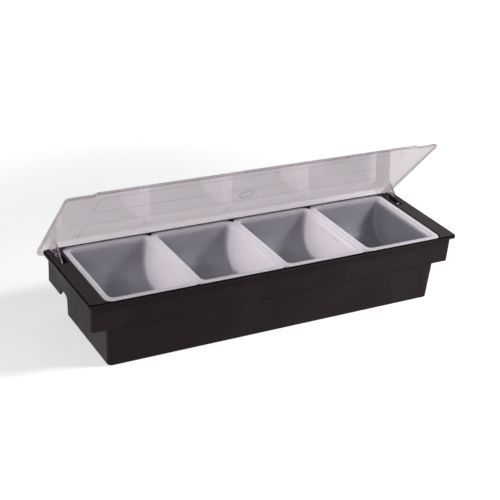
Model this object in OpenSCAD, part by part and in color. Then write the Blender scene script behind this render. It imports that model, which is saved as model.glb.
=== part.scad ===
// Condiment caddy: a black tub with a row of four lift-out inserts and one clear hinged lid.
// The origin is on the table under the middle of the tub; +Z is up and -Y is the serving side.

/* [Base] */
// Length over the rim
rim_l = 500; // [440:1:600]
// Depth over the rim, front to back
rim_w = 146; // [122:1:176]
// Height of the rim above the table
base_h = 88; // [76:1:110]
// Wall and floor of the tub
wall = 2.4; // [2:0.1:3]
// Draft of the moulded walls, in degrees
draft = 2.5; // [1:0.25:3]
// Plate thickness of the rim
rim_t = 2.6; // [2.2:0.1:3.2]
// Height of the bead that turns down round the rim
bead_h = 4.5; // [4:0.1:6]
// Width of that bead
bead_w = 2; // [1.5:0.1:2.5]
// Radius along the top edge of the rim
rim_round = 1.3; // [0.8:0.1:1.3]
// Radius of the rim's corners in plan
rim_corner = 4; // [3:0.5:6]

/* [Wings] */
// Rim left at each end, outside the ledge of the inserts
wing_l = 20.6; // [20.4:0.1:30]
// Depth of the hollow wing below the rim
wing_drop = 37.5; // [34:0.5:44]
// Wall of the wing
wing_wall = 2.3; // [1.8:0.1:2.8]
// How far the rim stands out past the wing
wing_over = 4.4; // [4:0.1:6]
// Number of finger arches along each wing
grip_n = 3; // [2:1:4]
// Distance from one finger arch to the next
grip_pitch = 22.5; // [20:0.5:24]
// Rise of a finger arch above the cusp between two arches
grip_rise = 5.5; // [4:0.5:7]
// Middle of the arches, measured towards the back
grip_y = -7.8; // [-12:0.2:0]

/* [Inserts] */
// Width of the flange that carries an insert
flange_w = 5.4; // [5:0.1:7]
// Thickness of that flange
flange_t = 2.6; // [2:0.1:3]
// Depth of an insert below its flange
insert_d = 54; // [44:0.5:60]
// Wall of an insert
insert_wall = 1.5; // [1.2:0.1:2.2]
// Draft of the insert walls, in degrees
insert_draft = 4; // [2:0.5:6]
// Corner radius of the flange in plan
insert_corner = 9; // [7:0.5:12]
// Corner radius of the well at its mouth
well_corner = 7; // [5:0.5:10]
// Radius where the side walls of an insert meet its floor
floor_round = 7; // [4:0.5:10]
// Radius of the scoop where its front and back walls run into the floor
scoop_round = 30; // [12:1:34]

/* [Lid] */
// Thickness of the clear sheet
lid_t = 2; // [1.6:0.1:2.2]
// Depth of the edge that turns down along the front of the lid
lid_skirt = 3.4; // [3:0.2:5]
// Depth of that edge along the back
back_skirt = 4; // [3.6:0.1:4.4]
// Gap between the lid's edge and the rim
lid_gap = 0.5; // [0.4:0.1:1]
// Gap over the inserts when the lid is shut
lid_air = 2.2; // [1.8:0.1:3]
// Length of the lifting lip along the front
lip_l = 440; // [300:5:440]
// How far the lip stands out
lip_out = 4; // [3:0.5:6]
// How far the lid stands open, from shut
lid_open = 49; // [0:1:100]
// How far it can open
open_max = 100; // [95:1:110]

/* [Hinge] */
// Pivot to the back edge of the rim
pivot_in = 9; // [8.5:0.5:12]
// Pivot below the top of the rim
pivot_down = 22; // [20:0.5:24]
// Radius of the stub pin on each ear
pin_r = 3; // [2.5:0.1:3.5]
// Running clearance of the pin, on the radius
pin_gap = 0.05; // [0.02:0.01:0.1]
// Radius of the ear and the lug round the pin
boss_r = 6; // [5.5:0.1:6.5]
// Thickness of an ear
ear_t = 2.2; // [1.8:0.1:2.6]
// Thickness of the lug that carries the pin
lug_t = 3; // [2.4:0.1:3.2]
// Inner face of an ear to the end of the rim
ear_in = 12.7; // [12.5:0.1:13]
// Pivot to the front edge of an ear
ear_reach = 31.5; // [26:0.5:33]
// Depth of the ear's front tip below the pivot
ear_tip = 8; // [6:0.5:9]

/* [Fits] */
// Side gap between an insert's flange and the ledge it sits in
seat_gap = 0.3; // [0.3:0.05:0.6]
// Depth of that ledge below the rim
seat_d = 2.4; // [2:0.1:2.6]
// Land of the rim left in front of the ledge
front_land = 1.4; // [1.4:0.1:2.6]
// Land of the rim left behind the ledge
rear_land = 3.6; // [3:0.1:5]
// Play of the row along the ledge, left open at the right-hand end
row_play = 2; // [0:0.2:3]
// Gap between the flanges of two inserts
row_gap = 0.4; // [0.3:0.1:0.8]
// Gap between an insert's wall and the tub
hang_gap = 0.3; // [0.3:0.1:1]
// Side gap of an ear in its slot
ear_gap = 0.5; // [0.4:0.1:0.7]

/* [Hidden] */

eps = 0.02;
insert_n = 4;
ledge_l = rim_l - 2 * wing_l;
ledge_w = rim_w - front_land - rear_land;
row_l = ledge_l - 2 * seat_gap - row_play;
row_w = ledge_w - 2 * seat_gap;
row_x = -row_play / 2;
row_y = (front_land - rear_land) / 2;
pitch = row_l / insert_n;
cavity_l = row_l + row_play - 2 * (flange_w - hang_gap);
cavity_w = row_w + 2 * abs(row_y) - 2 * (flange_w - hang_gap);
tub_l = cavity_l + 2 * wall;
tub_w = cavity_w + 2 * wall;
seat_z = base_h - seat_d;
plate_z = base_h - rim_t;
bead_z = base_h - bead_h;
wing_z = base_h - wing_drop;
wing_x = rim_l / 2 - wing_over;
wing_draft = 1;
wing_corner = 4;
band_out = 0.3;
tub_corner = 7;
tub_round = 2;

// Finger arches: a circle through two cusps and the crown between them
cusp_z = wing_z + 3.3;
grip_r = (pow(grip_pitch / 2, 2) + pow(grip_rise, 2)) / (2 * grip_rise);
grip_z = cusp_z + grip_rise - grip_r;

// Inserts
insert_l = pitch - row_gap;
insert_top = seat_z + flange_t;
insert_z = seat_z - insert_d;
body_l = insert_l - 2 * flange_w;
body_w = row_w - 2 * flange_w;
flange_round = 1;

// Lid, drawn shut; open_lid() swings it up round the pivot
lid_l = rim_l + 2 * (lid_gap + lid_t);
lid_w = rim_w + 2 * (lid_gap + lid_t);
lid_in = insert_top + lid_air;
lid_top = lid_in + lid_t;
lid_corner = 6;
back_corner = 10;
lip_slant = 4.2;
field_d = 0.5;
field_in = 44.5;
field_l = lid_l - 2 * field_in;
front_field_w = 38;
front_field_in = 12.5;
band_w = 33;
rear_field_w = 54;
field_corner = 6;
dial_r = 10;
dial_w = 1.6;

// Hinge
pivot_y = rim_w / 2 - pivot_in;
pivot_z = base_h - pivot_down;
ear_x = rim_l / 2 - ear_in;
lug_x = ear_x - ear_gap - lug_t;
slot_play = 1;
slot_x = lug_x - slot_play;
slot_end = ear_x + ear_t + ear_gap + slot_play;
slot_y = pivot_y - ear_reach - slot_play;
notch_w = 2.4;
notch_x = lug_x - notch_w;
notch_y = pivot_y - slot_play;
stub_l = ear_gap + lug_t + 0.2;
stub_chamfer = 0.6;
brace_l = 8;
back_face = wing_w_at(pivot_z - boss_r) / 2 - pivot_y;
stop_gap = 0.3;
stop_z = pivot_z - boss_r * sin(open_max)
  + (back_face - boss_r * cos(open_max)) / tan(open_max) - stop_gap;

// Outer depth of the wings at height z
function wing_w_at(z) = tub_w + 2 * band_out - 2 * (bead_z - z) * tan(wing_draft);

// Rounded rectangle
module plan(l, w, r) {
  square([l - 2 * r, w], center = true);
  square([l, w - 2 * r], center = true);
  for (x = [-1, 1])
    for (y = [-1, 1])
      translate([x * (l / 2 - r), y * (w / 2 - r)])
        circle(r = r, $fn = 32);
}

// Four corner discs of a rounded rectangle, for a hull
module corners(l, w, r, t) {
  for (x = [-1, 1])
    for (y = [-1, 1])
      translate([x * (l / 2 - r), y * (w / 2 - r), 0])
        cylinder(r = r, h = t, $fn = 32);
}

// Plate whose top edge is rounded by er
module slab(l, w, t, r, er) {
  hull() {
    corners(l, w, r, t - er);
    for (a = [30, 60, 90])
      let (inset = er * (1 - cos(a)))
        translate([0, 0, t - er + er * sin(a) - eps])
          corners(l - 2 * inset, w - 2 * inset, r - inset / 2, eps);
  }
}

// How far a round of radius er has drawn in at height z above its foot
function round_in(er, z) = z < er ? er - sqrt(er * er - (er - z) * (er - z)) : 0;

// Drafted form that is l by w at height h; its bottom edge is rounded by er along the ends
// and by scoop along the front and back
module drafted(l, w, h, r, angle, er, scoop) {
  hull() {
    translate([0, 0, h - eps])
      corners(l, w, r, eps);
    for (a = scoop > 2 * er ? [0, 20, 40, 60, 75, 90] : er > 0 ? [0, 30, 60, 90] : [0])
      let (
        z = scoop * (1 - sin(a)),
        lean = (h - z) * tan(angle),
        inset = lean + round_in(er, z)
      )
        translate([0, 0, z])
          corners(
            l - 2 * inset, w - 2 * (lean + round_in(scoop, z)),
            max(r - inset / 2, 1), eps
          );
  }
}

// The same thing at both ends of the caddy
module both_ends() {
  children();
  mirror([1, 0, 0])
    children();
}

// Outline in the Y-Z plane, extruded from x to x + t
module side_plate(x, t) {
  translate([x, 0, 0])
    rotate([90, 0, 90])
      linear_extrude(t)
        children();
}

// Rim with its turned-down bead, hollow under the plate at each end
module rim() {
  difference() {
    translate([0, 0, bead_z])
      slab(rim_l, rim_w, bead_h, rim_corner, rim_round);
    both_ends()
      translate([notch_x, bead_w - rim_w / 2, bead_z - 1])
        cube([rim_l / 2 - bead_w - notch_x, rim_w - 2 * bead_w, plate_z - bead_z + 1]);
  }
}

// Band round the top of the tub, open underneath, that makes a hollow wing at each end
module wings() {
  h = plate_z - wing_z + 1;
  difference() {
    translate([0, 0, wing_z])
      drafted(2 * wing_x, wing_w_at(plate_z + 1), h, wing_corner, wing_draft, 0, 0);
    translate([0, 0, wing_z - 1])
      drafted(
        2 * (wing_x - wing_wall), wing_w_at(plate_z + 1) - 2 * wing_wall,
        h, wing_corner - wing_wall / 2, wing_draft, 0, 0
      );
  }
}

// Lug beside each slot that carries the lid's stub pin
module lug() {
  side_plate(lug_x, lug_t) {
    translate([pivot_y, pivot_z])
      circle(r = boss_r, $fn = 64);
    polygon([
      [pivot_y - boss_r, pivot_z],
      [pivot_y - boss_r - brace_l, plate_z + 0.5],
      [rim_w / 2 - bead_w, plate_z + 0.5],
      [pivot_y + back_face - wing_wall / 2, plate_z - 3],
      [pivot_y + back_face - wing_wall / 2, pivot_z - boss_r],
      [pivot_y, pivot_z - boss_r]
    ]);
  }
}

// Slot that lets an ear swing, open at the back, and the relief that frees the lug
module hinge_cuts() {
  translate([slot_x, slot_y, plate_z - eps])
    cube([slot_end - slot_x, notch_y - slot_y + eps, rim_t + 1]);
  translate([ear_x - ear_gap, pivot_y - 4, stop_z])
    cube([slot_end - ear_x + ear_gap, rim_w / 2 - pivot_y + 8, base_h - stop_z + 1]);
  translate([notch_x, notch_y, bead_z - eps])
    cube([lug_x - notch_x, rim_w / 2 - notch_y + 4, bead_h + 1]);
  side_plate(lug_x - 1, lug_t + 2)
    translate([pivot_y, pivot_z])
      circle(r = pin_r + pin_gap, $fn = 96);
}

// Arches for the fingertips along the lower edge of a wing
module finger_arches() {
  for (i = [0 : grip_n - 1])
    translate([wing_x - 3 * wing_wall, grip_y + (i - (grip_n - 1) / 2) * grip_pitch, grip_z])
      rotate([0, 90, 0])
        cylinder(r = grip_r, h = 4 * wing_wall, $fn = 96);
}

module base_housing() {
  color([0.13, 0.12, 0.13])
    difference() {
      union() {
        drafted(tub_l, tub_w, plate_z + 1, tub_corner, draft, tub_round, tub_round);
        rim();
        wings();
        both_ends()
          lug();
      }
      translate([0, 0, wall])
        drafted(cavity_l, cavity_w, base_h - wall + 1, tub_corner - wall, draft, 1, 1);
      translate([0, row_y, seat_z])
        linear_extrude(seat_d + 1)
          plan(ledge_l, ledge_w, insert_corner + seat_gap);
      both_ends()
        hinge_cuts();
      both_ends()
        finger_arches();
    }
}

// One lift-out insert; i counts along the row from the left
module insert_tray(i) {
  color([0.86, 0.86, 0.9])
    translate([row_x + (i - (insert_n + 1) / 2) * pitch, row_y, 0])
      difference() {
        union() {
          translate([0, 0, seat_z])
            slab(insert_l, row_w, flange_t, insert_corner, flange_round);
          translate([0, 0, insert_z])
            drafted(
              body_l, body_w, insert_d + 1, well_corner + insert_wall,
              insert_draft, floor_round, scoop_round + insert_wall
            );
        }
        translate([0, 0, insert_z + insert_wall])
          drafted(
            body_l - 2 * insert_wall, body_w - 2 * insert_wall,
            insert_d + flange_t - insert_wall + 1, well_corner,
            insert_draft, floor_round - insert_wall / 2, scoop_round
          );
      }
}

module insert_tray_1() {
  insert_tray(1);
}

module insert_tray_2() {
  insert_tray(2);
}

module insert_tray_3() {
  insert_tray(3);
}

module insert_tray_4() {
  insert_tray(4);
}

// Outline of the lid with its lifting lip, drawn in by d; the back corners are rounder
module lid_outline(d) {
  plan(lid_l - 2 * d, lid_w - 2 * d, back_corner - d);
  translate([0, -lid_w / 4])
    plan(lid_l - 2 * d, lid_w / 2 - 2 * d, lid_corner - d);
  polygon([
    [-lip_l / 2 + d, -lid_w / 2 + d + 1],
    [lip_l / 2 - d, -lid_w / 2 + d + 1],
    [lip_l / 2 - d, -lid_w / 2 + d],
    [lip_l / 2 - lip_slant - d, -lid_w / 2 - lip_out + d],
    [-lip_l / 2 + lip_slant + d, -lid_w / 2 - lip_out + d],
    [-lip_l / 2 + d, -lid_w / 2 + d]
  ]);
}

// Shallow fields sunk in the top of the lid, with a bare round dial between them
module lid_fields() {
  front_y = -lid_w / 2 + front_field_in + front_field_w / 2;
  rear_y = front_y + front_field_w / 2 + band_w + rear_field_w / 2;
  dial_y = front_y + front_field_w / 2 + band_w / 2;
  translate([0, front_y, lid_top - field_d])
    linear_extrude(1)
      plan(field_l, front_field_w, field_corner);
  translate([0, rear_y, lid_top - field_d])
    linear_extrude(1)
      plan(field_l, rear_field_w, field_corner);
  translate([0, dial_y, lid_top - field_d])
    difference() {
      cylinder(r = dial_r, h = 1, $fn = 96);
      translate([0, 0, -eps])
        cylinder(r = dial_r - dial_w, h = 2, $fn = 96);
    }
}

// Ear that hangs from the lid into the wing, with its stub pin
module ear() {
  side_plate(ear_x, ear_t) {
    translate([pivot_y, pivot_z])
      circle(r = boss_r, $fn = 64);
    translate([pivot_y - ear_reach + 2.5, pivot_z - ear_tip + 2.5])
      circle(r = 2.5, $fn = 48);
    polygon([
      [pivot_y - ear_reach, lid_in + 0.5],
      [pivot_y - ear_reach, pivot_z - ear_tip + 2.5],
      [pivot_y - ear_reach + 2.5, pivot_z - ear_tip],
      [pivot_y, pivot_z - boss_r],
      [pivot_y + boss_r, pivot_z],
      [pivot_y + boss_r, lid_in + 0.5]
    ]);
  }
  translate([ear_x + eps, pivot_y, pivot_z])
    rotate([0, -90, 0]) {
      cylinder(r = pin_r, h = stub_l - stub_chamfer, $fn = 96);
      translate([0, 0, stub_l - stub_chamfer])
        cylinder(r1 = pin_r, r2 = pin_r - stub_chamfer, h = stub_chamfer, $fn = 96);
    }
}

// Swings the lid from shut to lid_open round the pivot
module open_lid() {
  translate([0, pivot_y, pivot_z])
    rotate([-lid_open, 0, 0])
      translate([0, -pivot_y, -pivot_z])
        children();
}

// Sheet with its turned-down edge, which gets deeper towards the back
module lid_sheet() {
  skirt = max(lid_skirt, back_skirt);
  front = -lid_w / 2 - lip_out;
  difference() {
    translate([0, 0, lid_top - skirt])
      linear_extrude(skirt)
        lid_outline(0);
    translate([0, 0, lid_in - skirt])
      linear_extrude(skirt)
        lid_outline(lid_t);
    side_plate(-lid_l / 2 - 1, lid_l + 2)
      polygon([
        [front, lid_top - lid_skirt],
        [lid_w / 2, lid_top - back_skirt],
        [lid_w / 2 + 1, lid_top - back_skirt],
        [lid_w / 2 + 1, lid_top - skirt - 1],
        [front - 1, lid_top - skirt - 1],
        [front - 1, lid_top - lid_skirt]
      ]);
  }
}

module clear_lid() {
  color([0.8, 0.78, 0.82, 0.35])
    open_lid() {
      difference() {
        lid_sheet();
        lid_fields();
      }
      both_ends()
        ear();
    }
}

base_housing();
insert_tray_1();
insert_tray_2();
insert_tray_3();
insert_tray_4();
clear_lid();
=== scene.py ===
# %% [markdown]
# A condiment caddy: a black moulded tub with a row of four white inserts and one clear hinged lid.
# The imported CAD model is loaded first. It fixes every size and place, and the pieces made here are
# built round it in metres.

# %% Load the frame
import bpy
import math
from mathutils import Matrix, Vector


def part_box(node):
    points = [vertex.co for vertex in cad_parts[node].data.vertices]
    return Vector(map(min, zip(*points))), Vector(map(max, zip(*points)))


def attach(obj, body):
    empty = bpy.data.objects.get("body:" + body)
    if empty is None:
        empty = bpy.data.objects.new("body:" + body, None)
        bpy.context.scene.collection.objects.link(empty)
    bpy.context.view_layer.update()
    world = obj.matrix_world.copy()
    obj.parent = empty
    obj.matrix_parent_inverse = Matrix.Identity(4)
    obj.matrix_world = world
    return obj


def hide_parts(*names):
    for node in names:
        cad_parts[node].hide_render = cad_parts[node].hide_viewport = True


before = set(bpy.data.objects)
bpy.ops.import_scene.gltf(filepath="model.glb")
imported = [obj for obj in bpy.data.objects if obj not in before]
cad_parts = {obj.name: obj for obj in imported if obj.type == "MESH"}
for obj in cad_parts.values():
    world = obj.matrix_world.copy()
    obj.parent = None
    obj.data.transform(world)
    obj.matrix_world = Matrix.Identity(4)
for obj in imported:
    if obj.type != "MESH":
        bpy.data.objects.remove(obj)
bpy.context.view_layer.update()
MM = 0.001

# %% [markdown]
# The camera stands to the left of the serving side and looks down at the row, a little rolled. Its
# place is written as a point and three turns, because a point to look at could not hold the roll.

# %% Camera
CAMERA_AT = (-0.6855, -1.1332, 0.7319)
AZIMUTH, ELEVATION, ROLL = math.radians(-30.7955), math.radians(26.3275), math.radians(4.4002)
SENSOR, LENS, CLIP_START = 36, 86.62, 0.05
back = Vector((
    math.sin(AZIMUTH) * math.cos(ELEVATION),
    -math.cos(AZIMUTH) * math.cos(ELEVATION),
    math.sin(ELEVATION),
))
level_right = (-back).cross(Vector((0, 0, 1))).normalized()
level_up = level_right.cross(-back)
right = math.cos(ROLL) * level_right + math.sin(ROLL) * level_up
up = math.cos(ROLL) * level_up - math.sin(ROLL) * level_right
camera_data = bpy.data.cameras.new("camera")
camera_data.sensor_width, camera_data.lens = SENSOR, LENS
camera_data.clip_start = CLIP_START
camera = bpy.data.objects.new("camera", camera_data)
bpy.context.scene.collection.objects.link(camera)
turned = Matrix((right, up, back)).transposed().to_4x4()
camera.matrix_world = Matrix.Translation(CAMERA_AT) @ turned
bpy.context.scene.camera = camera
print("camera lens, mm:", LENS)

# %% [markdown]
# The inserts are thin white mouldings. A shell like this could be a box with its inside cut out,
# but then light would break at every join. So one is drawn like a pot on a wheel: it starts as a
# flat plate with round corners, and each step adds one more ring. An inset tightens the corners,
# and a resize keeps them in proportion, so the rings stay in step and light runs smoothly round
# them.

# %% Helpers that draw a rounded shell ring by ring
def clear_selection():
    """Leaves nothing selected, because an operator acts on all that is selected."""
    if bpy.context.object and bpy.context.object.mode != "OBJECT":
        bpy.ops.object.mode_set(mode="OBJECT")
    bpy.ops.object.select_all(action="DESELECT")


def pick(piece):
    """Selects one piece alone, and makes it the active one."""
    clear_selection()
    piece.select_set(True)
    bpy.context.view_layer.objects.active = piece


def plate(name, half_l, half_w, z, radius, segments=10):
    """A flat face with round corners, left selected in edit mode."""
    clear_selection()
    bpy.ops.mesh.primitive_plane_add(size=2, location=(0, 0, 0))
    piece = bpy.context.object
    piece.name = name
    bpy.ops.object.mode_set(mode="EDIT")
    bpy.ops.mesh.select_all(action="SELECT")
    bpy.ops.transform.resize(value=(half_l, half_w, 1))
    bpy.ops.transform.translate(value=(0, 0, z))
    bpy.ops.mesh.bevel(offset=radius, segments=segments, affect="VERTICES", offset_type="OFFSET")
    return piece


def draw_rings(ring, rings):
    """Adds rings to the selected face, going on from the ring it has. A ring is (half length, half
    width, height, corner radius), and a corner radius of None keeps the corners in proportion."""
    x, y, z, radius = ring
    for nx, ny, nz, nr in rings:
        tighten = (radius * nx - nr * x) / (nx - nr) if nr else 0
        if tighten > 0.001 * MM:
            bpy.ops.mesh.inset(thickness=tighten, depth=0)
            x, y, radius = x - tighten, y - tighten, radius - tighten
        else:
            bpy.ops.mesh.extrude_region_move(TRANSFORM_OT_translate={"value": (0, 0, 0)})
        bpy.ops.transform.translate(value=(0, 0, nz - z))
        bpy.ops.transform.resize(value=(nx / x, ny / y, 1), center_override=(0, 0, 0))
        x, y, z, radius = nx, ny, nz, radius * nx / x


# %% [markdown]
# An insert hangs by its flange. Its end walls lean in by four degrees and meet the floor in a
# small round, while the front and back walls run into the floor in a wide scoop, so that a spoon
# reaches everything. The rings start under the flange, go up over its rounded edge and down the
# inside; then the face that they started from is taken up again, and the outside is drawn down to
# the foot.

# %% Insert
low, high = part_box("insert_tray_1")
HALF_L, HALF_W = (high.x - low.x) / 2, (high.y - low.y) / 2
TOP, FOOT = high.z, low.z
FLANGE, FLANGE_T, WALL = 5.4 * MM, 2.6 * MM, 1.5 * MM
LEAN = math.tan(math.radians(4))
FOOT_ROUND, SCOOP = 6.25 * MM, 30 * MM
EDGE, UNDER_EDGE, LIP = 1 * MM, 0.2 * MM, 0.9 * MM
RIM_CORNER, MOUTH_CORNER = 9 * MM, 7 * MM
LIP_DEPTH = 2 * MM
SCOOP_ANGLES, FOOT_ANGLES = (0, 10, 20, 30, 40, 50), (10, 25, 40, 55, 70, 90)


def drawn_in(radius, up):
    """How far a quarter round has come in at a height above its foot."""
    return radius - math.sqrt(radius ** 2 - (radius - up) ** 2) if up < radius else 0


def well(inset, floor_z, side, scoop, first_z, corner=None):
    """Rings down a leaning wall from first_z to floor_z, with the two rounds at its foot."""
    heights = [first_z - floor_z]
    heights += [scoop * (1 - math.sin(math.radians(a))) for a in SCOOP_ANGLES]
    heights += [side * (1 - math.sin(math.radians(a))) for a in FOOT_ANGLES]
    rings = []
    for up in heights:
        lean = inset + (TOP - floor_z - up) * LEAN
        across, along = lean + drawn_in(side, up), lean + drawn_in(scoop, up)
        rings.append((HALF_L - across, HALF_W - along, floor_z + up, None if rings else corner))
    return rings


def quarter(steps=4):
    """Angles of a quarter round."""
    return [math.pi / 2 * k / steps for k in range(steps + 1)]


under = (HALF_L - UNDER_EDGE, HALF_W - UNDER_EDGE, TOP - FLANGE_T, RIM_CORNER)
over = [(HALF_L, HALF_W, TOP - FLANGE_T + UNDER_EDGE, None)]
for a in quarter():
    d = EDGE * (1 - math.cos(a))
    over.append((HALF_L - d, HALF_W - d, TOP - EDGE + EDGE * math.sin(a), None))
for a in quarter():
    d = FLANGE + WALL - LIP * (1 - math.sin(a))
    corner = MOUTH_CORNER if a == 0 else None
    over.append((HALF_L - d, HALF_W - d, TOP - LIP * (1 - math.cos(a)), corner))
inside = well(FLANGE + WALL, FOOT + WALL, FOOT_ROUND, SCOOP, TOP - LIP_DEPTH)
outside = well(
    FLANGE, FOOT, FOOT_ROUND + WALL / 2, SCOOP + WALL, TOP - FLANGE_T, MOUTH_CORNER + WALL)

insert = plate("insert", *under)
draw_rings(under, over + inside)
bpy.ops.mesh.select_mode(type="FACE")
bpy.ops.mesh.select_all(action="DESELECT")
bpy.ops.object.mode_set(mode="OBJECT")
for face in insert.data.polygons:
    face.select = len(face.vertices) > 4 and abs(face.center.z - under[2]) < 0.01 * MM
bpy.ops.object.mode_set(mode="EDIT")
draw_rings(under, outside)
bpy.ops.mesh.select_all(action="SELECT")
bpy.ops.mesh.normals_make_consistent(inside=False)
bpy.ops.object.mode_set(mode="OBJECT")
print("insert faces:", len(insert.data.polygons))
print("inner depth, mm:", round((TOP - FOOT - WALL) / MM, 1))

# %% [markdown]
# The four inserts are alike, so the one is copied, and each is moved in its mesh to its place in
# the row.

# %% Row of inserts
SMOOTH_UP_TO = math.radians(32)
trays = [insert]
for _ in range(3):
    tray = insert.copy()
    tray.data = insert.data.copy()
    bpy.context.scene.collection.objects.link(tray)
    trays.append(tray)
ROW_AT = []
for number, tray in enumerate(trays, 1):
    node = f"insert_tray_{number}"
    low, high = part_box(node)
    middle = (low + high) / 2
    ROW_AT.append(middle)
    tray.name = f"white_insert_{number}"
    tray.data.transform(Matrix.Translation((middle.x, middle.y, 0)))
    pick(tray)
    bpy.ops.object.shade_smooth_by_angle(angle=SMOOTH_UP_TO)
    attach(tray, node.replace("insert_tray", "insert"))
    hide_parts(node)
print("inserts at x:", [round(middle.x, 4) for middle in ROW_AT])

# %% [markdown]
# The base and the lid have the right shape already, but every edge of a real moulding is a little
# round, and that is what catches the light. So each one is copied from the CAD model: the loose
# triangles of the copy are merged, flat faces are joined again, and a narrow bevel softens what is
# left of the sharp edges. The faces of that bevel go in a second material slot, whose finish is
# painted darker than the skin beside it, as a painted dark reflection along each rounded edge. On
# the base, the faces along the rim's outer edge go there too.

# %% Soft-edged mouldings
MERGE, FLAT, SHARP = 0.02 * MM, math.radians(0.6), math.radians(28)
BASE_EDGE, LID_EDGE = 0.35 * MM, 0.45 * MM
RIM_BAND, RIM_DEPTH, NEARLY_LEVEL = 1.6 * MM, 1.3 * MM, 0.97


def moulding(node, name, body, edge):
    """A copy of a CAD node whose sharp edges get a round of the given width."""
    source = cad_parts[node]
    piece = source.copy()
    piece.data = source.data.copy()
    bpy.context.scene.collection.objects.link(piece)
    piece.name = name
    pick(piece)
    bpy.ops.object.mode_set(mode="EDIT")
    bpy.ops.mesh.select_all(action="SELECT")
    bpy.ops.mesh.remove_doubles(threshold=MERGE)
    bpy.ops.mesh.dissolve_limited(angle_limit=FLAT)
    bpy.ops.object.mode_set(mode="OBJECT")
    bpy.ops.object.shade_smooth()
    piece.data.materials.clear()
    for _ in range(2):
        piece.data.materials.append(None)
    soften = piece.modifiers.new("soften", "BEVEL")
    soften.width = edge
    soften.segments = 2
    soften.limit_method = "ANGLE"
    soften.angle_limit = SHARP
    soften.use_clamp_overlap = True
    soften.miter_outer = "MITER_ARC"
    soften.harden_normals = True
    # The bevel's faces take the second slot, whose finish is a painted dark reflection.
    soften.material = 1
    bpy.ops.object.modifier_apply(modifier="soften")
    even = piece.modifiers.new("even", "WEIGHTED_NORMAL")
    even.keep_sharp = True
    even.weight = 80
    bpy.ops.object.modifier_apply(modifier="even")
    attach(piece, body)
    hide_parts(node)
    return piece


base = moulding("base_housing", "black_base", "caddy_base", BASE_EDGE)
lid = moulding("clear_lid", "clear_flip_lid", "lid", LID_EDGE)
low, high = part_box("base_housing")
# Faces along the rim's outer edge get the painted dark reflection too.
for face in base.data.polygons:
    at = face.center
    outermost = abs(at.x) > high.x - RIM_BAND or abs(at.y) > high.y - RIM_BAND
    if outermost and at.z > high.z - RIM_DEPTH and abs(face.normal.z) < NEARLY_LEVEL:
        face.material_index = 1
for piece in (base, lid):
    dark = sum(face.material_index == 1 for face in piece.data.polygons)
    print(piece.name, "faces:", len(piece.data.polygons), "of them on edges:", dark)

# %% [markdown]
# The colours of the three plastics, each with the tone that it has under a smudge, and the darker
# tones that are painted as shade on edges and marks. They are linear colours, so the numbers are
# lower than the ones that a screen shows.

# %% Colours
BLACK, BLACK_HAZE = (0.019, 0.0132, 0.0152), (0.024, 0.018, 0.0205)
# Painted dark reflection for the softened edges and the rim's outer edge of the base.
BLACK_PAINTED_EDGE, BLACK_PAINTED_EDGE_HAZE = (0.004, 0.003, 0.003), (0.005, 0.004, 0.004)
# The second colour on the next line is painted shadow on the grip tips.
BLACK_SCRATCH, BLACK_TIP_SHADOW = (0.045, 0.038, 0.041), (0.0005, 0.0005, 0.0005)
BLACK_SHEEN = (1.0, 0.78, 0.86)
MILK, MILK_HAZE, MILK_THICK = (0.47, 0.48, 0.55), (0.44, 0.45, 0.52), (0.76, 0.73, 0.78)
# The last colour on the next line is the painted round shade low in each insert's rear wall.
MILK_GLOW, MILK_SHADE, MILK_DISC_SHADE = (0.90, 0.87, 0.88), (0.66, 0.65, 0.65), (0.1, 0.1, 0.12)
SMOKE, SMOKE_HAZE = (0.76, 0.715, 0.745), (0.74, 0.70, 0.725)
SMOKE_THROUGH, SMOKE_SHADE = (0.745, 0.70, 0.73), (0.58, 0.55, 0.57)
# A dark violet painted on the lid's softened edges, as a painted dark reflection.
SMOKE_PAINTED_EDGE = (0.07, 0.05, 0.075)
print("black plastic, linear:", BLACK)

# %% [markdown]
# A material is a tree of nodes, and much of it repeats. These helpers make one node each. A value
# may be a socket, which is linked, or a number or colour, which is set on the socket itself.

# %% Helpers for node trees
def feed(tree, socket, value):
    """Links a socket to another, or sets its number or colour."""
    if isinstance(value, bpy.types.NodeSocket):
        tree.links.new(value, socket)
    else:
        socket.default_value = (*value, 1) if isinstance(value, tuple) else value


def arithmetic(tree, operation, *values):
    """A Math node."""
    node = tree.nodes.new("ShaderNodeMath")
    node.operation = operation
    for socket, value in zip(node.inputs, values):
        feed(tree, socket, value)
    return node.outputs[0]


def spread(tree, value, lo, hi, to_lo, to_hi):
    """Maps lo..hi to to_lo..to_hi with soft ends."""
    node = tree.nodes.new("ShaderNodeMapRange")
    node.interpolation_type = "SMOOTHSTEP"
    ends = {"From Min": lo, "From Max": hi, "To Min": to_lo, "To Max": to_hi}
    for label, number in ends.items():
        node.inputs[label].default_value = number
    tree.links.new(value, node.inputs["Value"])
    return node.outputs["Result"]


def texture(tree, kind, position, **values):
    """The grey of a texture node; a space in the name of a value is written as a low line."""
    node = tree.nodes.new(kind)
    tree.links.new(position, node.inputs["Vector"])
    for label, value in values.items():
        feed(tree, node.inputs[label.replace("_", " ")], value)
    return node.outputs["Fac"]


def split_up(tree, position):
    """The X, Y and Z of a position."""
    node = tree.nodes.new("ShaderNodeSeparateXYZ")
    tree.links.new(position, node.inputs["Vector"])
    return node.outputs


# %% [markdown]
# Moulded plastic is never quite even. Its skin has a fine grain from the mould, and handling
# leaves soft smudges and short scratches. The grain is on the black and the white plastic, and the
# wear on all three, so each effect is a node group that is built once. A group gives back only
# masks or heights; the shader stays in the material.
#
# The grain of a mould is finer than a millimetre and as even as orange peel. It is a noise of two
# sizes that feeds only a bump.

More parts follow.
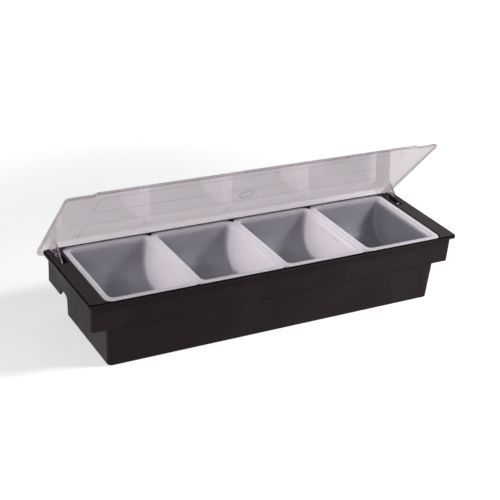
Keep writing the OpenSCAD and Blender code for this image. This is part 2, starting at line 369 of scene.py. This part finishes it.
# %% Mould grain
def new_group(name, inputs, outputs):
    """A shader node group of a position; inputs are (name, value) and outputs are names."""
    group = bpy.data.node_groups.new(name, "ShaderNodeTree")
    group.interface.new_socket("Position", in_out="INPUT", socket_type="NodeSocketVector")
    for label, value in inputs:
        socket = group.interface.new_socket(label, in_out="INPUT", socket_type="NodeSocketFloat")
        socket.default_value = value
    for label in outputs:
        group.interface.new_socket(label, in_out="OUTPUT", socket_type="NodeSocketFloat")
    entry = group.nodes.new("NodeGroupInput")
    result = group.nodes.new("NodeGroupOutput")
    return group, entry.outputs, result.inputs


grain, entry, result = new_group("mould_grain", [("Size", 900.0)], ["Height"])
fine = texture(grain, "ShaderNodeTexNoise", entry["Position"], Detail=2.0, Scale=entry["Size"])
broad = texture(grain, "ShaderNodeTexNoise", entry["Position"], Detail=1.0, Scale=45.0)
broad = arithmetic(grain, "MULTIPLY", broad, 1.5)
grain.links.new(arithmetic(grain, "ADD", fine, broad), result["Height"])
print("grain nodes:", len(grain.nodes))

# %% [markdown]
# Smudges are broad and cloudy. They make a patch of the surface a little duller, and never change
# its colour much.

# %% Smudges
smudge, entry, result = new_group("smudges", [("Scale", 14.0)], ["Mask"])
cloud = texture(
    smudge, "ShaderNodeTexNoise", entry["Position"],
    Scale=entry["Scale"], Detail=4.0, Roughness=0.6, Distortion=0.8)
smudge.links.new(spread(smudge, cloud, 0.42, 0.68, 0.0, 1.0), result["Mask"])
print("smudge nodes:", len(smudge.nodes))

# %% [markdown]
# Cutlery leaves short thin scratches in all directions. Each of two waves is bent by a noise and
# squeezed to a thin line, and a coarse noise lets only short pieces of the lines through.

# %% Scratches
SCRATCH_TURNS, GATE_SCALES = ((0.3, 0.2, 0.9), (1.2, -0.5, 2.3)), (55.0, 75.0)
scratch, entry, result = new_group("scratches", [("Scale", 40.0), ("Amount", 0.5)], ["Mask"])
masks = []
for turn, gate_scale in zip(SCRATCH_TURNS, GATE_SCALES):
    mapping = scratch.nodes.new("ShaderNodeMapping")
    mapping.inputs["Rotation"].default_value = turn
    scratch.links.new(entry["Position"], mapping.inputs["Vector"])
    wave = texture(
        scratch, "ShaderNodeTexWave", mapping.outputs["Vector"],
        Scale=entry["Scale"], Distortion=6.0, Detail=1.0, Detail_Scale=0.6)
    gate = texture(scratch, "ShaderNodeTexNoise", mapping.outputs["Vector"], Scale=gate_scale)
    line = spread(scratch, wave, 0.985, 1.0, 0.0, 1.0)
    stretch = spread(scratch, gate, 0.6, 0.66, 0.0, 1.0)
    masks.append(arithmetic(scratch, "MULTIPLY", line, stretch))
both = arithmetic(scratch, "MAXIMUM", *masks)
scratch.links.new(arithmetic(scratch, "MULTIPLY", both, entry["Amount"]), result["Mask"])
print("scratch nodes:", len(scratch.nodes))

# %% [markdown]
# Some painted marks are round patches that come back at even steps. In the inserts it is a faint
# round painted shade low in the rear wall, one for each insert of the row. In the base it is a
# painted shadow on the blunt tip between two finger arches.

# %% Round painted shade
round_painted_shade, entry, result = new_group(
    "round_painted_shade",
    [("Pitch", 0.1), ("X", 0.0), ("Y", 0.0), ("Radius", 0.01), ("Blur", 0.001)], ["Mask"])
at = split_up(round_painted_shade, entry["Position"])
half = arithmetic(round_painted_shade, "MULTIPLY", entry["Pitch"], 0.5)
minus_half = arithmetic(round_painted_shade, "MULTIPLY", half, -1.0)
along = arithmetic(round_painted_shade, "SUBTRACT", at["X"], entry["X"])
along = arithmetic(round_painted_shade, "WRAP", along, half, minus_half)
across = arithmetic(round_painted_shade, "SUBTRACT", at["Y"], entry["Y"])
squares = [arithmetic(round_painted_shade, "MULTIPLY", side, side) for side in (along, across)]
far = arithmetic(round_painted_shade, "SQRT", arithmetic(round_painted_shade, "ADD", *squares))
inward = arithmetic(round_painted_shade, "SUBTRACT", entry["Radius"], far)
inward = arithmetic(round_painted_shade, "DIVIDE", inward, entry["Blur"])
round_painted_shade.links.new(spread(round_painted_shade, inward, -0.5, 0.5, 0.0, 1.0), result["Mask"])
print("round mark nodes:", len(round_painted_shade.nodes))

# %% [markdown]
# The materials share some steps: a fresh material, a group placed in it, a colour or a shader
# between two, the wear, the bump of the grain, and the tinted shade behind a thin piece.

# %% Helpers for materials
def new_material(name):
    """A material with its Principled shader, its node tree and a position on the piece."""
    made = bpy.data.materials.new(name)
    made.use_nodes = True
    tree = made.node_tree
    position = tree.nodes.new("ShaderNodeTexCoord").outputs["Object"]
    return made, tree.nodes["Principled BSDF"], tree, position


def place_group(tree, group, position, **values):
    """Puts a group in a material and gives its values."""
    node = tree.nodes.new("ShaderNodeGroup")
    node.node_tree = group
    tree.links.new(position, node.inputs["Position"])
    for label, value in values.items():
        node.inputs[label].default_value = value
    return node.outputs


def tone(tree, factor, first, second):
    """A colour between two."""
    node = tree.nodes.new("ShaderNodeMix")
    node.data_type = "RGBA"
    feed(tree, node.inputs["Factor"], factor)
    feed(tree, node.inputs[6], first)
    feed(tree, node.inputs[7], second)
    return node.outputs[2]


def mix_shaders(tree, factor, first, second):
    """A shader between two."""
    node = tree.nodes.new("ShaderNodeMixShader")
    for socket, value in zip(node.inputs, (factor, first, second)):
        feed(tree, socket, value)
    return node.outputs["Shader"]


def wear(tree, position, smudge_scale, scratch_scale, amount):
    """The masks of the smudges and of the scratches."""
    haze = place_group(tree, smudge, position, Scale=smudge_scale)["Mask"]
    marks = place_group(tree, scratch, position, Scale=scratch_scale, Amount=amount)["Mask"]
    return haze, marks


def dulled(tree, haze, marks, clean, smudged, scratched):
    """A roughness that goes from clean to smudged, and rises by scratched in a scratch."""
    under_smudge = spread(tree, haze, 0.0, 1.0, clean, smudged)
    in_scratch = arithmetic(tree, "MULTIPLY", marks, scratched)
    return arithmetic(tree, "ADD", under_smudge, in_scratch)


def mould_skin(tree, position, shader, size, distance, strength):
    """A bump of mould grain that feeds the shader's Normal."""
    node = tree.nodes.new("ShaderNodeBump")
    node.inputs["Distance"].default_value = distance
    node.inputs["Strength"].default_value = strength
    height = place_group(tree, grain, position, Size=size)["Height"]
    tree.links.new(height, node.inputs["Height"])
    tree.links.new(node.outputs["Normal"], shader.inputs["Normal"])


def let_light_through(tree, surface, colour):
    """Finishes a material with its surface, and with a tinted Transparent shader for the shadow
    rays, so that the piece's shade is coloured."""
    path = tree.nodes.new("ShaderNodeLightPath")
    through = tree.nodes.new("ShaderNodeBsdfTransparent")
    feed(tree, through.inputs["Color"], colour)
    surface = mix_shaders(tree, path.outputs["Is Shadow Ray"], surface, through.outputs["BSDF"])
    tree.links.new(surface, tree.nodes["Material Output"].inputs["Surface"])


# %% [markdown]
# The tub is polypropylene, dyed black with a breath of brown. It has a satin skin, with smudges
# that make it a little greyer and duller, and fine scratches that are lighter than the rest. The
# blunt tips between the finger arches carry a painted near-black shadow, and the softened edges a
# painted dark reflection.

# %% Black plastic
GRIP_PITCH, GRIP_MIDDLE, WING_X = 22.5 * MM, -7.8 * MM, 245.6 * MM
GRIP_REACH, GRIP_END = 1.6 * GRIP_PITCH, 1.65 * GRIP_PITCH
TIP_AT = (GRIP_MIDDLE - GRIP_PITCH / 2, 55.2 * MM)
TIP_RADIUS, TIP_BLUR = 1.3 * MM, 0.5 * MM


def painted_tip_shadow(tree, position):
    """A mask of painted shadow on the tips between the finger arches, near the outer face of each
    wing.
    """
    at = split_up(tree, position)
    seen_from_end = tree.nodes.new("ShaderNodeCombineXYZ")
    tree.links.new(at["Y"], seen_from_end.inputs["X"])
    tree.links.new(at["Z"], seen_from_end.inputs["Y"])
    dots = place_group(
        tree, round_painted_shade, seen_from_end.outputs["Vector"],
        Pitch=GRIP_PITCH, X=TIP_AT[0], Y=TIP_AT[1], Radius=TIP_RADIUS, Blur=TIP_BLUR)["Mask"]
    off = arithmetic(tree, "ABSOLUTE", arithmetic(tree, "SUBTRACT", at["Y"], GRIP_MIDDLE))
    out = arithmetic(tree, "ABSOLUTE", at["X"])
    in_grip = spread(tree, off, GRIP_REACH, GRIP_END, 1.0, 0.0)
    on_wing = spread(tree, out, WING_X - 4 * MM, WING_X - 3 * MM, 0.0, 1.0)
    return arithmetic(tree, "MULTIPLY", arithmetic(tree, "MULTIPLY", dots, in_grip), on_wing)


def black_plastic(name, skin, skin_haze, gloss):
    """Dyed polypropylene with smudges, scratches and painted shadow on the grip tips."""
    made, shader, tree, position = new_material(name)
    haze, marks = wear(tree, position, smudge_scale=9.0, scratch_scale=30.0, amount=0.2)
    tip_shadow = painted_tip_shadow(tree, position)
    rough = dulled(tree, haze, marks, clean=0.34, smudged=0.44, scratched=0.2)
    skin = tone(tree, marks, tone(tree, haze, skin, skin_haze), BLACK_SCRATCH)
    tree.links.new(tone(tree, tip_shadow, skin, BLACK_TIP_SHADOW), shader.inputs["Base Color"])
    tree.links.new(arithmetic(tree, "MAXIMUM", rough, tip_shadow), shader.inputs["Roughness"])
    feed(tree, shader.inputs["Specular IOR Level"], gloss)
    feed(tree, shader.inputs["Specular Tint"], BLACK_SHEEN)
    mould_skin(tree, position, shader, size=1400.0, distance=0.03 * MM, strength=0.5)
    return made


black = black_plastic("black_plastic", BLACK, BLACK_HAZE, gloss=0.07)
black_painted_dark_edge = black_plastic("black_plastic_painted_dark_edge", BLACK_PAINTED_EDGE, BLACK_PAINTED_EDGE_HAZE, gloss=0.0)
print("nodes of the black plastic:", len(black.node_tree.nodes))

# %% [markdown]
# The inserts are thin milky polypropylene. A wall with black behind it looks blue-grey, because
# much of the light goes through it and is lost. A wall with a bright neighbour glows, because
# light comes through from behind. So the material is part diffuse and part translucent, and lets
# some of the lamp's light through. The flange is thicker, and there more of the light is sent
# back; the flange along the back keeps the wall's darker colour, as painted shade under the lid. A
# faint round disc low in each rear wall is painted shade too.

# %% Milky plastic
PITCH, ROW_START = ROW_AT[1].x - ROW_AT[0].x, ROW_AT[0].x
MOUTH_REAR = ROW_AT[0].y + HALF_W - FLANGE - WALL
DISC_SHADE_AT, DISC_SHADE_RADIUS, DISC_SHADE_BLUR = (8 * MM, 41.5 * MM), 15 * MM, 3 * MM
DISC_SHADE_STARTS, DISC_SHADE_FULL, DISC_SHADE_AMOUNT = TOP - 30 * MM, TOP - 36 * MM, 0.22
THROUGH_WALL, THROUGH_FLANGE = 0.70, 0.3

milky, shader, tree, position = new_material("insert_plastic")
haze, marks = wear(tree, position, smudge_scale=16.0, scratch_scale=38.0, amount=0.2)
rough = dulled(tree, haze, marks, clean=0.30, smudged=0.42, scratched=0.3)
tree.links.new(rough, shader.inputs["Roughness"])
shader.inputs["Specular IOR Level"].default_value = 0.35
mould_skin(tree, position, shader, size=700.0, distance=0.04 * MM, strength=0.35)
at = split_up(tree, position)
# The flange along the back is left out of the lighter flange colour, as painted shade under the lid.
before_rear_shade = spread(tree, at["Y"], MOUTH_REAR - 1 * MM, MOUTH_REAR + 1 * MM, 1.0, 0.0)
on_top = spread(tree, at["Z"], TOP - 1 * MM, TOP - 0.3 * MM, 0.0, 1.0)
flange_less_shaded_rear = arithmetic(tree, "MULTIPLY", before_rear_shade, on_top)
milk = tone(tree, flange_less_shaded_rear, tone(tree, haze, MILK, MILK_HAZE), MILK_THICK)
# A faint round disc low in each rear wall is painted shade.
painted_disc_shade = place_group(
    tree, round_painted_shade, position,
    Pitch=PITCH, X=ROW_START + DISC_SHADE_AT[0], Y=DISC_SHADE_AT[1], Radius=DISC_SHADE_RADIUS, Blur=DISC_SHADE_BLUR)["Mask"]
low_down = spread(tree, at["Z"], DISC_SHADE_STARTS, DISC_SHADE_FULL, 0.0, DISC_SHADE_AMOUNT)
painted_disc_shade = arithmetic(tree, "MULTIPLY", painted_disc_shade, low_down)
tree.links.new(tone(tree, painted_disc_shade, milk, MILK_DISC_SHADE), shader.inputs["Base Color"])
glow = tree.nodes.new("ShaderNodeBsdfTranslucent")
feed(tree, glow.inputs["Color"], MILK_GLOW)
through = spread(tree, flange_less_shaded_rear, 0.0, 1.0, THROUGH_WALL, THROUGH_FLANGE)
wall = mix_shaders(tree, through, shader.outputs["BSDF"], glow.outputs["BSDF"])
let_light_through(tree, wall, MILK_SHADE)
print("nodes of the milky plastic:", len(tree.nodes))

# %% [markdown]
# The lid is polycarbonate with a smoky mauve tint. Plain glass would turn black along its edges,
# where a thin sheet only darkens a little. So about a third of the light goes straight through,
# and the rest is bent as in glass. The softened edges are painted a dark violet, as a painted dark
# reflection.

# %% Clear plastic
CLEAR_IOR, STRAIGHT = 1.49, 0.35


def clear_plastic(name, tint, tint_haze, straight_tint):
    """Smoky clear plastic; some of the light is bent and some goes straight."""
    made, shader, tree, position = new_material(name)
    haze, marks = wear(tree, position, smudge_scale=11.0, scratch_scale=22.0, amount=0.6)
    rough = dulled(tree, haze, marks, clean=0.0, smudged=0.02, scratched=0.06)
    tree.links.new(rough, shader.inputs["Roughness"])
    tree.links.new(tone(tree, haze, tint, tint_haze), shader.inputs["Base Color"])
    shader.inputs["Transmission Weight"].default_value = 1
    shader.inputs["IOR"].default_value = CLEAR_IOR
    straight = tree.nodes.new("ShaderNodeBsdfTransparent")
    feed(tree, straight.inputs["Color"], straight_tint)
    sheet = mix_shaders(tree, STRAIGHT, shader.outputs["BSDF"], straight.outputs["BSDF"])
    let_light_through(tree, sheet, SMOKE_SHADE)
    return made


clear = clear_plastic("clear_plastic", SMOKE, SMOKE_HAZE, SMOKE_THROUGH)
clear_painted_dark_edge = clear_plastic("clear_plastic_painted_dark_edge", SMOKE_PAINTED_EDGE, SMOKE_PAINTED_EDGE, SMOKE_PAINTED_EDGE)
print("nodes of the clear plastic:", len(clear.node_tree.nodes))

# %% [markdown]
# Each piece gets its finish. The base and the lid have two slots, one for the skin and one for the
# edges, which are painted dark.

# %% Dress the pieces
for piece, finishes in ((base, (black, black_painted_dark_edge)), (lid, (clear, clear_painted_dark_edge))):
    for slot, finish in enumerate(finishes):
        piece.data.materials[slot] = finish
for tray in trays:
    tray.data.materials.clear()
    tray.data.materials.append(milky)
for piece in (base, lid, *trays):
    print(piece.name, "wears", [finish.name for finish in piece.data.materials])

# %% [markdown]
# The caddy stands on white paper, which keeps its soft shadow. The camera and mirror images see
# the paper lifted towards white, less near the caddy and fully beyond it. Light that the clear
# plastic bends comes from plain white paper.

# %% Floor
PAPER, PAPER_SIDE = (0.9, 0.9, 0.9), 40
SHADOW_TO, WHITE_FROM = 0.35, 0.9
LIFT_IN_SHADOW, LIFT_BEYOND = 0.42, 1.0
WHITE = (1, 1, 1)

clear_selection()
bpy.ops.mesh.primitive_plane_add(size=PAPER_SIDE, location=(0, 0, 0))
floor = bpy.context.object
floor.name = "floor"
paper, shader, tree, position = new_material("paper")
feed(tree, shader.inputs["Base Color"], PAPER)
shader.inputs["Roughness"].default_value = 0.8
shader.inputs["Specular IOR Level"].default_value = 0.1
path = tree.nodes.new("ShaderNodeLightPath").outputs
far = tree.nodes.new("ShaderNodeVectorMath")
far.operation = "LENGTH"
tree.links.new(position, far.inputs[0])
lift = spread(tree, far.outputs["Value"], SHADOW_TO, WHITE_FROM, LIFT_IN_SHADOW, LIFT_BEYOND)
seen = arithmetic(tree, "MAXIMUM", path["Is Camera Ray"], path["Is Glossy Ray"])
feed(tree, shader.inputs["Emission Color"], WHITE)
tree.links.new(arithmetic(tree, "MULTIPLY", seen, lift), shader.inputs["Emission Strength"])
plain = tree.nodes.new("ShaderNodeEmission")
plain.inputs["Strength"].default_value = 1
surface = mix_shaders(
    tree, path["Is Transmission Ray"], shader.outputs["BSDF"], plain.outputs["Emission"])
tree.links.new(surface, tree.nodes["Material Output"].inputs["Surface"])
floor.data.materials.append(paper)
print("paper, metres:", PAPER_SIDE)

# %% [markdown]
# A small soft lamp stands high on the right. It shines down through the right-hand walls of the
# inserts, which glow, and the walls leave their shade across the rear wall and the floor. A larger
# lamp on the left fills the other side. The world fills the rest a little with a cool light, and
# shows itself as plain white.

# %% Light
AIM = Vector((0, 0, 0.05))
SKY, SKY_STRENGTH = (0.90, 0.94, 1.0), 0.07


def lamp(name, place, side, power):
    """A square area lamp that points at the caddy; metres and watts."""
    data = bpy.data.lights.new(name, "AREA")
    data.shape = "RECTANGLE"
    data.size = data.size_y = side
    data.energy = power
    made = bpy.data.objects.new(name, data)
    bpy.context.scene.collection.objects.link(made)
    made.location = place
    made.rotation_euler = (AIM - Vector(place)).to_track_quat("-Z", "Y").to_euler()
    print(name, "watts:", power)


world = bpy.data.worlds.new("studio")
bpy.context.scene.world = world
world.use_nodes = True
tree = world.node_tree
sky = tree.nodes["Background"]
feed(tree, sky.inputs["Color"], SKY)
sky.inputs["Strength"].default_value = SKY_STRENGTH
backdrop = tree.nodes.new("ShaderNodeBackground")
feed(tree, backdrop.inputs["Color"], WHITE)
path = tree.nodes.new("ShaderNodeLightPath").outputs
seen = arithmetic(tree, "MAXIMUM", path["Is Camera Ray"], path["Is Transmission Ray"])
seen = arithmetic(tree, "MAXIMUM", seen, path["Is Glossy Ray"])
surface = mix_shaders(tree, seen, sky.outputs["Background"], backdrop.outputs["Background"])
tree.links.new(surface, tree.nodes["World Output"].inputs["Surface"])
lamp("key_right", (0.73, -0.38, 0.70), side=0.24, power=8.6)
lamp("fill_left", (-1.1, -0.45, 0.8), side=0.6, power=8)
bpy.context.scene.view_settings.view_transform = "Standard"
